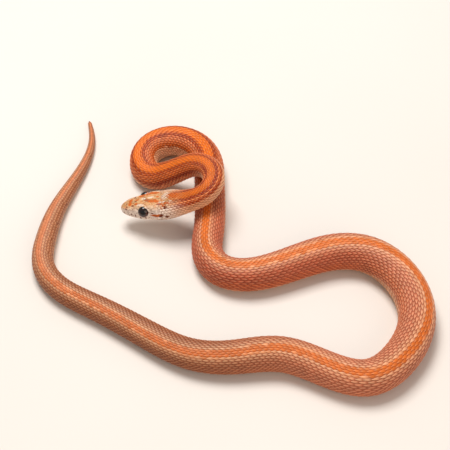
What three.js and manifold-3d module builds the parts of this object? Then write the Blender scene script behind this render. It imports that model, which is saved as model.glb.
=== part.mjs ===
// A young striped corn snake at life size, loosely coiled and lying still.
// Units are millimetres, +Z is up and the floor is z = 0.
// The whole animal is one swept skin from the snout to the tip of the tail.
// It is divided into a head, a lower jaw, two eyes, a neck, body lengths and a tail.

import * as THREE from 'three'
import { mergeVertices } from 'three/addons/utils/BufferGeometryUtils.js'
import Module from 'manifold-3d'

// The centreline, from the snout to the tail: x, y and how far the belly is lifted off the floor.
const WAYPOINTS = [
  [-31.6, 11.3, 4.6],
  [-25.3, 10.7, 4.7],
  [-18.7, 10.2, 5.5],
  [-12.3, 9.8, 7.6],
  [-7.1, 10.8, 9.7],
  [-4.6, 15.2, 10.5],
  [-5.8, 20.1, 10.1],
  [-10.2, 23.2, 8.6],
  [-15.3, 24.0, 5.0],
  [-20.6, 24.9, 1.2],
  [-24.7, 27.1, 0],
  [-25.9, 32.2, 0],
  [-23.5, 37.5, 0],
  [-17.3, 40.2, 0],
  [-10.4, 37.8, 0],
  [-6.4, 31.2, 0],
  [-6.0, 22.4, 0],
  [-5.6, 13.4, 0],
  [-5.9, 3.9, 0],
  [-6.4, -3.8, 0],
  [-2.3, -10.4, 0],
  [6.7, -12.0, 0],
  [17.7, -8.3, 0],
  [29.2, -4.1, 0],
  [40.6, -5.5, 0],
  [49.0, -14.8, 0],
  [51.5, -27.1, 0],
  [46.9, -38.7, 0],
  [37.3, -47.1, 0],
  [25.8, -43.9, 0],
  [14.0, -38.7, 0],
  [1.2, -40.1, 0],
  [-11.3, -38.7, 0],
  [-23.1, -31.6, 0],
  [-35.6, -23.4, 0],
  [-47.2, -16.5, 0],
  [-53.1, -7.6, 0],
  [-53.0, 2.4, 0],
  [-51.2, 12.9, 0],
  [-47.6, 22.9, 0],
  [-43.9, 32.9, 0],
  [-42.3, 42.9, 0],
  [-43.9, 51.9, 0],
]
const STEPS_PER_SPAN = 24

// The cross-section along the body.
// Columns: distance from the snout, half width, height above the centreline, depth below it.
const GIRTH = [
  [0, 2.3, 1.7, 1.35],
  [2, 2.5, 1.85, 1.55],
  [4, 3.15, 2.2, 1.95],
  [6, 3.7, 2.65, 2.25],
  [8, 4.05, 2.9, 2.45],
  [10.5, 4.45, 3.05, 2.7],
  [13.5, 4.8, 3.15, 2.95],
  [16, 4.65, 3.15, 3.05],
  [19, 3.85, 3.1, 3.0],
  [22.5, 3.3, 3.1, 2.9],
  [27, 3.2, 3.2, 2.85],
  [34, 3.45, 3.4, 3.05],
  [46, 3.75, 3.7, 3.3],
  [60, 4.25, 4.2, 3.75],
  [75, 4.65, 4.6, 4.1],
  [110, 4.7, 4.6, 4.1],
  [130, 4.65, 4.55, 4.05],
  [150, 5.0, 4.95, 4.4],
  [180, 5.45, 5.35, 4.8],
  [215, 5.3, 5.2, 4.65],
  [240, 4.95, 4.9, 4.35],
  [262, 4.9, 4.85, 4.3],
  [285, 4.25, 4.15, 3.7],
  [310, 3.75, 3.65, 3.2],
  [335, 3.3, 3.25, 2.9],
  [348, 2.95, 2.85, 2.6],
  [372, 1.75, 1.7, 1.55],
  [395, 0.62, 0.6, 0.56],
]
const TOP_SQUARENESS = 2.15
const BELLY_SQUARENESS = 2.6
const HEAD_SQUARENESS = 2.45
// The share of its depth by which the belly settles on the floor, from none to all over this length.
const FLOOR_PRESS = 0.045
const PRESS_START = 20
const PRESS_FULL = 40
const SNOUT_ROUNDING = 3.0
const TAIL_ROUNDING = 1.6
// The head's squareness fades into the body's over this length, which ends here.
const HEAD_FADE = 8
const HEAD_FADE_END = 24

// How far the back is turned off the top, in degrees towards the left of the way to the tail.
const ROLL = [
  [0, 0],
  [20, 2],
  [33, 15],
  [50, 2],
  [64, 34],
  [79, 8],
  [100, -4],
  [120, -12],
  [140, 0],
  [172, -2],
  [200, 38],
  [228, 24],
  [268, 20],
  [294, 30],
  [318, 20],
  [336, 12],
  [365, 4],
  [395, 0],
]

// Belly scutes: plates across the belly, each with its rear edge raised over the next.
const SCUTE_PITCH = 3.1
const SCUTE_RISE = 0.24
const SCUTE_REACH = 68
const SCUTE_FADE = 14
const FULL_SCUTE_GIRTH = 3
// The low and high ring of a scute, as shares of its pitch.
const SCUTE_LOW_AT = 0.1
const SCUTE_HIGH_AT = 0.93
const SIDES = 16
const TAIL_RINGS = 14
const TIP_RINGS = 3
const TIP_TURN = 27.3

// The body is cut into lengths at these distances from the snout, counted in scutes after the head.
const HEAD_LENGTH = 17.2
const NODE_SCUTES = [
  ['neck', 4],
  ['body_01', 4],
  ['body_02', 5],
  ['body_03', 5],
  ['body_04', 5],
  ['body_05', 6],
  ['body_06', 8],
  ['body_07', 8],
  ['body_08', 9],
  ['body_09', 9],
  ['body_10', 9],
  ['body_11', 10],
  ['body_12', 11],
  ['body_13', 10],
  ['tail_01', 10],
  ['tail_02', 0],
]
const GAP = 0.3

// The head: station and ring counts, then raised and sunk forms on its skin.
const HEAD_RINGS = 40
const HEAD_SIDES = 48
const FIRST_RING = 0.35
const RING_BUNCHING = 1.35
const FORM_FALLOFF = 1.6
// Columns: distance from the snout, angle from the top, half length, half spread, height.
const HEAD_FORMS = [
  [6.9, 37, 2.6, 12, 0.24],
  [7.2, 97, 2.6, 14, 0.18],
  [3.2, 52, 2.4, 12, 0.16],
  [4.2, 80, 1.4, 17, -0.26],
  [0.9, 84, 0.9, 20, 0.12],
  [10.4, 24, 3.2, 16, 0.12],
  [10.1, 74, 1.4, 16, -0.12],
  [12.8, 92, 3.4, 24, 0.16],
  [6.5, 122, 6.2, 9, 0.14],
  [6.5, 143, 6.2, 9, 0.1],
  [15.5, 12, 2.4, 20, 0.12],
  [10.0, 50, 2.8, 19, 0.42],
]
const EYE_AT = 7.4
const EYE_SIDE = 3.1
const EYE_UP = 1.3
const EYE_RADIUS = 1.65
const EYE_DEPTH = 1.2
const EYE_TILT = 25
const EYE_GAP = 0.25
const NOSTRIL_AT = 1.35
const NOSTRIL_SIDE = 1.95
const NOSTRIL_UP = 0.12
const NOSTRIL_RADIUS = 0.3
const EYE_SEGMENTS = [24, 14]
const NOSTRIL_SEGMENTS = [10, 6]
// The line of the mouth seen from the side: distance from the snout and height off the centreline.
const MOUTH_LINE = [
  [-1.0, -0.3],
  [0.7, -0.62],
  [2.6, -0.98],
  [5.2, -1.2],
  [8.0, -1.22],
  [10.8, -0.92],
  [13.0, -0.35],
]
const MOUTH_BACK = 14.4
const MOUTH_GAP = 0.3
const CUT_REACH = 9
const CUT_FRONT = -1.5

const COLOURS = {
  head: 0xd9a06a,
  jaw: 0xe9d9c4,
  eye: 0x1a0f0a,
  body: 0xd87f4a,
  tail: 0xc78a5c,
}

const wasm = await Module()
wasm.setup()

// Straight-sided interpolation between rows of a table, smoothed by each row's mean slope.
function tableValue(table, column, at) {
  const last = table.length - 1
  const x = Math.min(Math.max(at, table[0][0]), table[last][0])
  let i = 0
  while (i < last - 1 && x >= table[i + 1][0]) i += 1
  const slope = (j) => {
    const a = Math.max(j - 1, 0)
    const b = Math.min(j + 1, last)
    return (table[b][column] - table[a][column]) / (table[b][0] - table[a][0])
  }
  const h = table[i + 1][0] - table[i][0]
  const t = (x - table[i][0]) / h
  const t2 = t * t
  const t3 = t2 * t
  return (2 * t3 - 3 * t2 + 1) * table[i][column]
    + (t3 - 2 * t2 + t) * h * slope(i)
    + (3 * t2 - 2 * t3) * table[i + 1][column]
    + (t3 - t2) * h * slope(i + 1)
}

// A uniform cubic B-spline that passes close by every waypoint.
function samplePath(points, steps) {
  const n = points.length
  const at = (i) => {
    if (i < 0) return points[0].map((v, k) => 2 * v - points[-i][k])
    if (i >= n) return points[n - 1].map((v, k) => 2 * v - points[2 * (n - 1) - i][k])
    return points[i]
  }
  const control = (i) => at(i).map((v, k) => v - (at(i - 1)[k] - 2 * v + at(i + 1)[k]) / 6)
  const samples = []
  for (let span = 0; span < n - 1; span += 1) {
    const c = [control(span - 1), control(span), control(span + 1), control(span + 2)]
    const end = span === n - 2 ? steps : steps - 1
    for (let j = 0; j <= end; j += 1) {
      const t = j / steps
      const w = [
        (1 - t) ** 3 / 6,
        (3 * t ** 3 - 6 * t ** 2 + 4) / 6,
        (-3 * t ** 3 + 3 * t ** 2 + 3 * t + 1) / 6,
        t ** 3 / 6,
      ]
      samples.push([0, 1, 2].map((k) => w.reduce((sum, v, m) => sum + v * c[m][k], 0)))
    }
  }
  return samples
}

// The lifted centreline: the belly's depth is added under each point, then lengths are summed.
function buildCentreline() {
  const flat = samplePath(WAYPOINTS, STEPS_PER_SPAN)
  let along = flat.map((p, i) => i * 0.4)
  let points = []
  for (let pass = 0; pass < 5; pass += 1) {
    points = flat.map((p, i) => {
      const depth = tableValue(GIRTH, 3, along[i])
      const settled = Math.min(Math.max((along[i] - PRESS_START) / (PRESS_FULL - PRESS_START), 0), 1)
      const press = FLOOR_PRESS * settled
      return new THREE.Vector3(p[0], p[1], Math.max(p[2], 0) + depth * (1 - press))
    })
    along = [0]
    for (let i = 1; i < points.length; i += 1) {
      along.push(along[i - 1] + points[i].distanceTo(points[i - 1]))
    }
  }
  return { points, along, total: along[along.length - 1] }
}

const centreline = buildCentreline()

// The point and the three directions of the centreline at a distance from the snout.
function frameAt(s) {
  const { points, along, total } = centreline
  const x = Math.min(Math.max(s, 0), total)
  let low = 0
  let high = along.length - 1
  while (high - low > 1) {
    const mid = (low + high) >> 1
    if (along[mid] <= x) low = mid
    else high = mid
  }
  const t = (x - along[low]) / (along[high] - along[low])
  const tangent = (i) => {
    const a = Math.max(i - 1, 0)
    const b = Math.min(i + 1, points.length - 1)
    return points[b].clone().sub(points[a]).normalize()
  }
  const forward = tangent(low).lerp(tangent(high), t).normalize()
  const left = new THREE.Vector3(0, 0, 1).cross(forward).normalize()
  const up = forward.clone().cross(left)
  return { point: points[low].clone().lerp(points[high], t), forward, left, up }
}

// Rounding of the two ends of the animal, 1 along the body and 0 at each tip.
function endRounding(s) {
  const toTail = centreline.total - s
  let k = 1
  if (s < SNOUT_ROUNDING) k *= Math.sqrt(Math.max(1 - (1 - s / SNOUT_ROUNDING) ** 2, 0))
  if (toTail < TAIL_ROUNDING) k *= Math.sqrt(Math.max(1 - (1 - toTail / TAIL_ROUNDING) ** 2, 0))
  return k
}

// One point of the skin; the angle is in radians from straight up, towards the left.
function skinPoint(s, angle, extra) {
  const frame = frameAt(s)
  const k = endRounding(s)
  const sine = Math.sin(angle)
  const cosine = Math.cos(angle)
  const half = tableValue(GIRTH, 1, s)
  const height = tableValue(GIRTH, cosine >= 0 ? 2 : 3, s)
  const headShare = Math.min(Math.max((HEAD_FADE_END - s) / HEAD_FADE, 0), 1)
  const bodyPower = cosine >= 0 ? TOP_SQUARENESS : BELLY_SQUARENESS
  const power = bodyPower + (HEAD_SQUARENESS - bodyPower) * headShare
  const radius = ((Math.abs(sine) / half) ** power + (Math.abs(cosine) / height) ** power) ** (-1 / power)
  const reach = (radius + extra) * k
  const point = frame.point.clone()
  point.addScaledVector(frame.left, sine * reach)
  point.addScaledVector(frame.up, cosine * reach)
  if (point.z < 0) point.z = 0
  return point
}

const toRadians = Math.PI / 180
const turnOff = (degrees) => Math.abs(((degrees % 360) + 540) % 360 - 180)

// Height of the belly plates at an angle, from nothing at the flanks to full across the belly.
function scuteShare(s, angle) {
  const fromBelly = turnOff(angle / toRadians - tableValue(ROLL, 1, s) - 180)
  return Math.min(Math.max((SCUTE_REACH - fromBelly) / SCUTE_FADE, 0), 1)
}

// Sum of the head's raised and sunk forms, the same on both sides.
function headRelief(s, angle) {
  const degrees = turnOff(angle / toRadians)
  return HEAD_FORMS.reduce((sum, [at, from, length, spread, height]) => {
    const a = (s - at) / length
    const b = (degrees - from) / spread
    return sum + height * Math.exp(-FORM_FALLOFF * (a * a + b * b))
  }, 0)
}

// A closed solid from rings of points, with a point or a flat fan at each end.
function ringSolid(rings) {
  const sides = rings[0].length
  const positions = []
  const faces = []
  rings.forEach((ring) => ring.forEach((p) => positions.push(p.x, p.y, p.z)))
  for (let i = 0; i < rings.length - 1; i += 1) {
    for (let j = 0; j < sides; j += 1) {
      const a = i * sides + j
      const b = i * sides + (j + 1) % sides
      faces.push(a, a + sides, b, b, a + sides, b + sides)
    }
  }
  const addEnd = (ring, base, reversed) => {
    const middle = ring.reduce((sum, p) => sum.add(p), new THREE.Vector3()).divideScalar(sides)
    const tip = positions.length / 3
    positions.push(middle.x, middle.y, middle.z)
    for (let j = 0; j < sides; j += 1) {
      const k = (j + 1) % sides
      if (reversed) faces.push(tip, base + k, base + j)
      else faces.push(tip, base + j, base + k)
    }
  }
  addEnd(rings[0], 0, false)
  addEnd(rings[rings.length - 1], (rings.length - 1) * sides, true)
  return { positions, faces }
}

function toMesh(name, { positions, faces }, colour) {
  const geometry = new THREE.BufferGeometry()
  geometry.setAttribute('position', new THREE.Float32BufferAttribute(positions, 3))
  geometry.setIndex(faces)
  geometry.computeVertexNormals()
  const mesh = new THREE.Mesh(geometry, new THREE.MeshStandardMaterial({ color: colour, roughness: 0.5 }))
  mesh.name = name
  return mesh
}

function toManifold({ positions, faces }) {
  const mesh = new wasm.Mesh({
    numProp: 3,
    vertProperties: new Float32Array(positions),
    triVerts: new Uint32Array(faces),
  })
  return new wasm.Manifold(mesh)
}

// The largest closed surface of a cut solid, as plain lists.
function fromManifold(solid) {
  const parts = solid.decompose()
  const largest = parts.reduce((best, part) => (part.volume() > best.volume() ? part : best), parts[0])
  const mesh = largest.getMesh()
  const positions = []
  for (let i = 0; i < mesh.vertProperties.length / mesh.numProp; i += 1) {
    const base = i * mesh.numProp
    positions.push(mesh.vertProperties[base], mesh.vertProperties[base + 1], mesh.vertProperties[base + 2])
  }
  return { positions, faces: Array.from(mesh.triVerts) }
}

function bodyRing(s, extra) {
  const ring = []
  for (let j = 0; j < SIDES; j += 1) {
    const angle = 2 * Math.PI * (j + 0.5) / SIDES
    ring.push(skinPoint(s, angle, extra * scuteShare(s, angle)))
  }
  return ring
}

// One length of the body, from its first scute to its last, ended by a flat face at each cut.
function bodyLength(start, end) {
  const rings = []
  const count = Math.max(Math.round((end - start) / SCUTE_PITCH), 1)
  const pitch = (end - start) / count
  const thickness = Math.min(1, tableValue(GIRTH, 1, (start + end) / 2) / FULL_SCUTE_GIRTH)
  const rise = SCUTE_RISE * thickness
  for (let k = 0; k < count; k += 1) {
    const from = start + k * pitch
    const low = k === 0 ? from + GAP / 2 : from + SCUTE_LOW_AT * pitch
    const high = k === count - 1 ? from + pitch - GAP / 2 : from + SCUTE_HIGH_AT * pitch
    rings.push(bodyRing(low, -rise / 2))
    rings.push(bodyRing(high, rise / 2))
  }
  return ringSolid(rings)
}

// The thin end of the tail, closing to a small round tip.
function tailEnd(start) {
  const rings = []
  const total = centreline.total
  for (let k = 0; k <= TAIL_RINGS; k += 1) {
    const share = k / TAIL_RINGS
    const s = start + GAP / 2 + (total - TAIL_ROUNDING - start - GAP / 2) * share
    rings.push(bodyRing(s, 0))
  }
  for (let k = 1; k <= TIP_RINGS; k += 1) {
    rings.push(bodyRing(total - TAIL_ROUNDING * Math.cos(k * TIP_TURN * toRadians), 0))
  }
  return ringSolid(rings)
}

// The whole head before it is cut: dense rings, closest together at the snout.
function headSolid() {
  const rings = []
  for (let i = 0; i <= HEAD_RINGS; i += 1) {
    const share = (i + FIRST_RING) / (HEAD_RINGS + FIRST_RING)
    const s = (HEAD_LENGTH - GAP / 2) * share ** RING_BUNCHING
    const ring = []
    for (let j = 0; j < HEAD_SIDES; j += 1) {
      const angle = 2 * Math.PI * (j + 0.5) / HEAD_SIDES
      ring.push(skinPoint(s, angle, headRelief(s, angle)))
    }
    rings.push(ring)
  }
  return toManifold(ringSolid(rings))
}

const headFrame = frameAt(EYE_AT)

// A place in the head's own directions: along from the snout, to the left, and up.
function headPlace(alongHead, left, up) {
  return headFrame.point.clone()
    .addScaledVector(headFrame.forward, alongHead - EYE_AT)
    .addScaledVector(headFrame.left, left)
    .addScaledVector(headFrame.up, up)
}

// A closed three.js geometry as a solid, with its doubled vertices merged.
function fromGeometry(geometry) {
  geometry.deleteAttribute('normal')
  geometry.deleteAttribute('uv')
  const merged = mergeVertices(geometry, 1e-4)
  return toManifold({ positions: merged.attributes.position.array, faces: merged.index.array })
}

// Everything below the line of the mouth, lowered and drawn forward by the given amount.
function belowMouth(clearance) {
  const outline = MOUTH_LINE.map(([along, up]) => new THREE.Vector2(along - clearance, up - clearance))
  outline.push(new THREE.Vector2(MOUTH_BACK - clearance, -CUT_REACH))
  outline.push(new THREE.Vector2(CUT_FRONT, -CUT_REACH))
  outline.unshift(new THREE.Vector2(CUT_FRONT, MOUTH_LINE[0][1] - clearance))
  const geometry = new THREE.ExtrudeGeometry(new THREE.Shape(outline), {
    depth: 2 * CUT_REACH,
    bevelEnabled: false,
  })
  const right = headFrame.left.clone().negate()
  const turn = new THREE.Matrix4().makeBasis(headFrame.forward, headFrame.up, right)
  turn.setPosition(headPlace(0, CUT_REACH, 0))
  geometry.applyMatrix4(turn)
  return fromGeometry(geometry)
}

function nostrilPit(side) {
  const centre = headPlace(NOSTRIL_AT, side * NOSTRIL_SIDE, NOSTRIL_UP)
  const geometry = new THREE.SphereGeometry(NOSTRIL_RADIUS, ...NOSTRIL_SEGMENTS)
  geometry.translate(centre.x, centre.y, centre.z)
  return fromGeometry(geometry)
}

// An eye as a ball flattened sideways and turned a little upwards, larger by the given amount.
function eyeBall(side, larger) {
  const tilt = EYE_TILT * toRadians
  const outward = headFrame.left.clone().multiplyScalar(side * Math.cos(tilt))
  outward.addScaledVector(headFrame.up, Math.sin(tilt))
  const geometry = new THREE.SphereGeometry(1, ...EYE_SEGMENTS)
  const round = EYE_RADIUS + larger
  geometry.scale(round, round, EYE_DEPTH + larger)
  const third = outward.clone().cross(headFrame.forward)
  const turn = new THREE.Matrix4().makeBasis(headFrame.forward, third, outward)
  turn.setPosition(headPlace(EYE_AT, side * EYE_SIDE, EYE_UP))
  geometry.applyMatrix4(turn)
  return fromGeometry(geometry)
}

const group = new THREE.Group()
group.name = 'corn_snake'

// Head, with sockets for the eyes and pits for the nostrils, and the lower jaw cut free of it.
const wholeHead = headSolid()
let upperHead = wholeHead.subtract(belowMouth(0))
for (const side of [-1, 1]) {
  upperHead = upperHead.subtract(eyeBall(side, EYE_GAP)).subtract(nostrilPit(side))
}
group.add(toMesh('head', fromManifold(upperHead), COLOURS.head))
const jaw = wholeHead.intersect(belowMouth(MOUTH_GAP))
group.add(toMesh('lower_jaw', fromManifold(jaw), COLOURS.jaw))

// The animal's left side is the right of the way to its tail.
group.add(toMesh('eye_left', fromManifold(eyeBall(-1, 0)), COLOURS.eye))
group.add(toMesh('eye_right', fromManifold(eyeBall(1, 0)), COLOURS.eye))

let cutAt = HEAD_LENGTH
for (const [name, scutes] of NODE_SCUTES) {
  const end = cutAt + scutes * SCUTE_PITCH
  const solid = scutes > 0 ? bodyLength(cutAt, end) : tailEnd(cutAt)
  group.add(toMesh(name, solid, name.startsWith('tail') ? COLOURS.tail : COLOURS.body))
  cutAt = end
}

export default group
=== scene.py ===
"""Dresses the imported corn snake: one skin, overlapping back scales, belly plates, eyes and a plain stage.

Every shape is worked out in two directions of the animal itself: how far along the body from the
snout, in millimetres, and how far around it from the middle of the back, in radians.
"""

import math

import bpy
import numpy as np
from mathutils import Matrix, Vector


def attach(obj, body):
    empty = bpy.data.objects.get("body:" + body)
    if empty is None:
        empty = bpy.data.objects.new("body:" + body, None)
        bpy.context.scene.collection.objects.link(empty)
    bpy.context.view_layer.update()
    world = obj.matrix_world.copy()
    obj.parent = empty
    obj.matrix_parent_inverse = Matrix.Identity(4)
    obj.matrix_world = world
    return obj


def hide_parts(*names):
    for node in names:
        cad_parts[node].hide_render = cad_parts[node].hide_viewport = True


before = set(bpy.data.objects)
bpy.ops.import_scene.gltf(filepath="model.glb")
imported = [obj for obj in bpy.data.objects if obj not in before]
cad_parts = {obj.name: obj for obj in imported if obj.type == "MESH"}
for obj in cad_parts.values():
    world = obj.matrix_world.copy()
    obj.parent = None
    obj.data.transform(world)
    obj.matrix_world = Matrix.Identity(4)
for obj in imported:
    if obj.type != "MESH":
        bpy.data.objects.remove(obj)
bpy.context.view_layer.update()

bl_info = {
    "name": "Corn snake",
    "version": (1, 0, 0),
    "blender": (4, 5, 0),
    "location": "View3D > Sidebar > Snake",
    "description": "Skin, scales, belly plates and eyes for the packed corn snake",
    "category": "Object",
}

# Lengths are in millimetres, apart from the settings and the stage; MM turns them into metres.
MM = 0.001

# The centreline, from the snout to the tail: x, y and how far the belly is lifted off the floor.
WAYPOINTS = [
    (-31.6, 11.3, 4.6), (-25.3, 10.7, 4.7), (-18.7, 10.2, 5.5), (-12.3, 9.8, 7.6),
    (-7.1, 10.8, 9.7), (-4.6, 15.2, 10.5), (-5.8, 20.1, 10.1), (-10.2, 23.2, 8.6),
    (-15.3, 24.0, 5.0), (-20.6, 24.9, 1.2), (-24.7, 27.1, 0), (-25.9, 32.2, 0),
    (-23.5, 37.5, 0), (-17.3, 40.2, 0), (-10.4, 37.8, 0), (-6.4, 31.2, 0),
    (-6.0, 22.4, 0), (-5.6, 13.4, 0), (-5.9, 3.9, 0), (-6.4, -3.8, 0),
    (-2.3, -10.4, 0), (6.7, -12.0, 0), (17.7, -8.3, 0), (29.2, -4.1, 0),
    (40.6, -5.5, 0), (49.0, -14.8, 0), (51.5, -27.1, 0), (46.9, -38.7, 0),
    (37.3, -47.1, 0), (25.8, -43.9, 0), (14.0, -38.7, 0), (1.2, -40.1, 0),
    (-11.3, -38.7, 0), (-23.1, -31.6, 0), (-35.6, -23.4, 0), (-47.2, -16.5, 0),
    (-53.1, -7.6, 0), (-53.0, 2.4, 0), (-51.2, 12.9, 0), (-47.6, 22.9, 0),
    (-43.9, 32.9, 0), (-42.3, 42.9, 0), (-43.9, 51.9, 0),
]
STEPS_PER_SPAN = 24

# Columns: distance from the snout, half width, height above the centreline, depth below it.
GIRTH = [
    (0, 2.3, 1.7, 1.35), (2, 2.5, 1.85, 1.55), (4, 3.15, 2.2, 1.95), (6, 3.7, 2.65, 2.25),
    (8, 4.05, 2.9, 2.45), (10.5, 4.45, 3.05, 2.7), (13.5, 4.8, 3.15, 2.95), (16, 4.65, 3.15, 3.05),
    (19, 3.85, 3.1, 3.0), (22.5, 3.3, 3.1, 2.9), (27, 3.2, 3.2, 2.85), (34, 3.45, 3.4, 3.05),
    (46, 3.75, 3.7, 3.3), (60, 4.25, 4.2, 3.75), (75, 4.65, 4.6, 4.1), (110, 4.7, 4.6, 4.1),
    (130, 4.65, 4.55, 4.05), (150, 5.0, 4.95, 4.4), (180, 5.45, 5.35, 4.8), (215, 5.3, 5.2, 4.65),
    (240, 4.95, 4.9, 4.35), (262, 4.9, 4.85, 4.3), (285, 4.25, 4.15, 3.7), (310, 3.75, 3.65, 3.2),
    (335, 3.3, 3.25, 2.9), (348, 2.95, 2.85, 2.6), (372, 1.75, 1.7, 1.55), (395, 0.62, 0.6, 0.56),
]
# How square the sections are above and below the centreline and on the head, where 2 is an oval, and
# where and over what length the head's shape goes over into the body's.
TOP_SQUARENESS = 2.15
BELLY_SQUARENESS = 2.6
HEAD_SQUARENESS = 2.45
HEAD_SHAPE_END = 24
HEAD_SHAPE_FADE = 8
# The share of its depth that the belly is pressed flat by, where the pressing starts and is full, and
# how far above the floor every point stays.
FLOOR_PRESS = 0.045
PRESS_START = 20
PRESS_FULL = 40
FLOOR_GAP = 0.004
# Lengths of the rounded snout and tip, and how much shorter the tail is than the solids' centreline.
SNOUT_ROUNDING = 3.0
TAIL_ROUNDING = 1.6
TIP_CUT = 0.18
HEAD_LENGTH = 17.2
VENT_AT = 332.0

# How far the back is turned off the top, in degrees towards the left of the way to the tail.
ROLL = [
    (0, 0), (20, 2), (33, 15), (50, 2), (64, 34), (79, 8), (100, -4), (120, -12), (140, 0),
    (172, -2), (200, 38), (228, 24), (268, 20), (294, 30), (318, 20), (336, 12), (365, 4), (395, 0),
]

# How far the markings are turned off the middle of the back, in degrees.
MARKING_TURN = [
    (0, 0), (36, 0), (50, 5), (61, -8), (80, 3), (100, 0), (150, 4), (185, 0), (225, -2), (248, -12),
    (276, 3), (305, -4), (335, 4), (395, 0),
]

# Raised and sunk forms of the head, and how fast they fall off.
# Columns: distance from the snout, degrees from the top, half length, half spread, height.
HEAD_FORMS = [
    (6.9, 37, 2.6, 12, 0.24), (7.2, 97, 2.6, 14, 0.18), (3.2, 52, 2.4, 12, 0.16),
    (4.2, 80, 1.4, 17, -0.26), (0.9, 84, 0.9, 20, 0.12), (10.4, 24, 3.2, 16, 0.12),
    (10.1, 74, 1.4, 16, -0.12), (12.8, 92, 3.4, 24, 0.16), (6.5, 122, 6.2, 9, 0.14),
    (6.5, 143, 6.2, 9, 0.1), (15.5, 12, 2.4, 20, 0.12), (10.0, 50, 2.8, 19, 0.42),
]
HEAD_FORM_FALL = 1.6

# The eyes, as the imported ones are: flattened balls turned a little upwards. Then the opening of the
# lids (half length, half height, how far it is raised) and how thick they lie on the ball.
EYE_AT = 7.4
EYE_SIDE = 3.1
EYE_UP = 1.3
EYE_RADIUS = 1.65
EYE_DEPTH = 1.2
EYE_TILT = math.radians(25)
EYE_RINGS = 40
EYE_SEGMENTS = 64
EYE_OPENING = (1.62, 1.4, 0.05)
LID_THICKNESS = 0.07
LID_GAIN = 1.15
SOCKET_DEPTH = 0.8
NOSTRIL_AT = 2.0
NOSTRIL_SIDE = 1.76
NOSTRIL_UP = 1.1
NOSTRIL_DEPTH = 0.34
MOUTH_DEPTH = 0.2
LIP_RISE = 0.07

# The line of the mouth seen from the side: distance from the snout and height off the centreline.
MOUTH_LINE = [
    (-1.0, -0.45), (0.7, -0.77), (2.6, -1.13), (5.2, -1.35), (8.0, -1.37), (10.8, -1.07), (13.0, -0.5),
]

# The large shields of the head, given once for both sides.
# Columns: distance from the snout, degrees from the top, half length, half width in millimetres.
SHIELDS = {
    "rostral": (0.25, 0, 0.8, 1.0),
    "internasal": (1.35, 26, 0.75, 0.75),
    "prefrontal": (3.1, 25, 1.15, 1.0),
    "frontal": (6.3, 0, 2.0, 1.0),
    "supraocular": (6.9, 42, 1.75, 0.7),
    "parietal": (10.3, 26, 2.1, 1.45),
    "nasal_front": (0.75, 78, 0.6, 0.75),
    "nasal_rear": (1.9, 76, 0.6, 0.75),
    "loreal": (3.7, 79, 0.75, 0.5),
    "preocular": (5.2, 68, 0.55, 0.9),
    "postocular_upper": (9.25, 60, 0.5, 0.5),
    "postocular_lower": (9.2, 80, 0.5, 0.5),
    "temporal_1": (10.5, 70, 0.85, 0.55),
    "temporal_2": (10.4, 86, 0.9, 0.5),
    "temporal_3": (11.2, 62, 0.9, 0.6),
    "temporal_4": (11.3, 77, 0.9, 0.55),
    "temporal_5": (11.4, 90, 0.9, 0.5),
    "mental": (0.5, 180, 0.6, 0.8),
    "chin_front": (3.7, 168, 1.7, 0.75),
    "chin_rear": (7.0, 166, 1.6, 0.8),
}
# The shields along the lips: distance from the snout and half length, then how far all are from the
# line of the mouth, and their half width.
UPPER_LIP = [
    (1.0, 0.6), (2.15, 0.6), (3.3, 0.6), (4.5, 0.65), (5.8, 0.7), (7.2, 0.75), (8.8, 0.85), (10.7, 1.0),
]
LOWER_LIP = [
    (1.2, 0.6), (2.3, 0.6), (3.4, 0.6), (4.6, 0.65), (5.9, 0.7), (7.3, 0.75), (8.8, 0.8), (10.5, 0.9),
]
LIP_OFFSET = 0.52
LIP_HALF_WIDTH = 0.5


def both_sides(rows):
    """Each mark or shield of the head and its mirror image on the other side."""
    return [(at, side * angle, *size) for at, angle, *size in rows for side in (1, -1)]


# Markings of the head. The animal's left is the side that shows.
# Columns: distance from the snout, degrees from the top (left is negative), half length, half width.
ORANGE_MARKS = [
    (3.4, 16, 0.6, 0.9), (3.3, -14, 0.6, 0.8), (6.7, 34, 1.1, 0.45), (8.9, 42, 1.6, 0.62),
    (10.8, 38, 1.5, 0.5), (8.4, -3, 0.9, 0.5), (10.2, -12, 1.8, 0.82), (11.8, -21, 0.8, 0.5),
    (11.8, 12, 0.6, 0.35), (12.5, -35, 1.0, 0.35), (13.8, -50, 0.9, 0.4), (13.0, 62, 0.8, 0.4),
    (16.6, 10, 2.0, 1.7), (5.4, 9, 0.6, 0.35), (5.2, -22, 0.5, 0.5), (14.6, -36, 0.8, 0.4),
    *both_sides([(11.4, 80, 1.9, 0.42)]),
]
DARK_MARKS = [
    (4.2, -33, 0.5, 0.28), (4.9, -1, 0.45, 0.28), (4.5, 38, 0.5, 0.24), (2.3, -38, 0.35, 0.22),
    (2.2, -8, 0.3, 0.2), (12.4, -37, 0.8, 0.16), (13.9, -54, 0.6, 0.18), (7.9, 2, 0.7, 0.22),
    (8.6, -10, 0.8, 0.16),
    # The first pair, at the nostrils, is painted shade in the nostril pits; the other marks are the head's
    # own.
    *both_sides([
        (2.0, 57, 0.35, 0.25), (3.6, 88, 0.22, 0.42), (4.8, 92, 0.22, 0.42), (6.3, 97, 0.22, 0.35),
        (7.9, 92, 0.25, 0.45), (9.2, 65, 0.4, 0.22), (10.2, 71, 0.6, 0.18), (12.8, 84, 0.8, 0.3),
        (14.2, 88, 0.75, 0.28)]),
]
CREAM_MARKS = [
    (9.6, 14, 1.5, 0.4), (14.0, 14, 1.2, 2.2), (6.6, -33, 1.4, 0.5), (6.6, 50, 1.3, 0.5),
    (13.2, -28, 0.9, 0.5), (7.2, 12, 1.0, 0.5), (15.6, -32, 1.2, 0.5),
]

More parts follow.
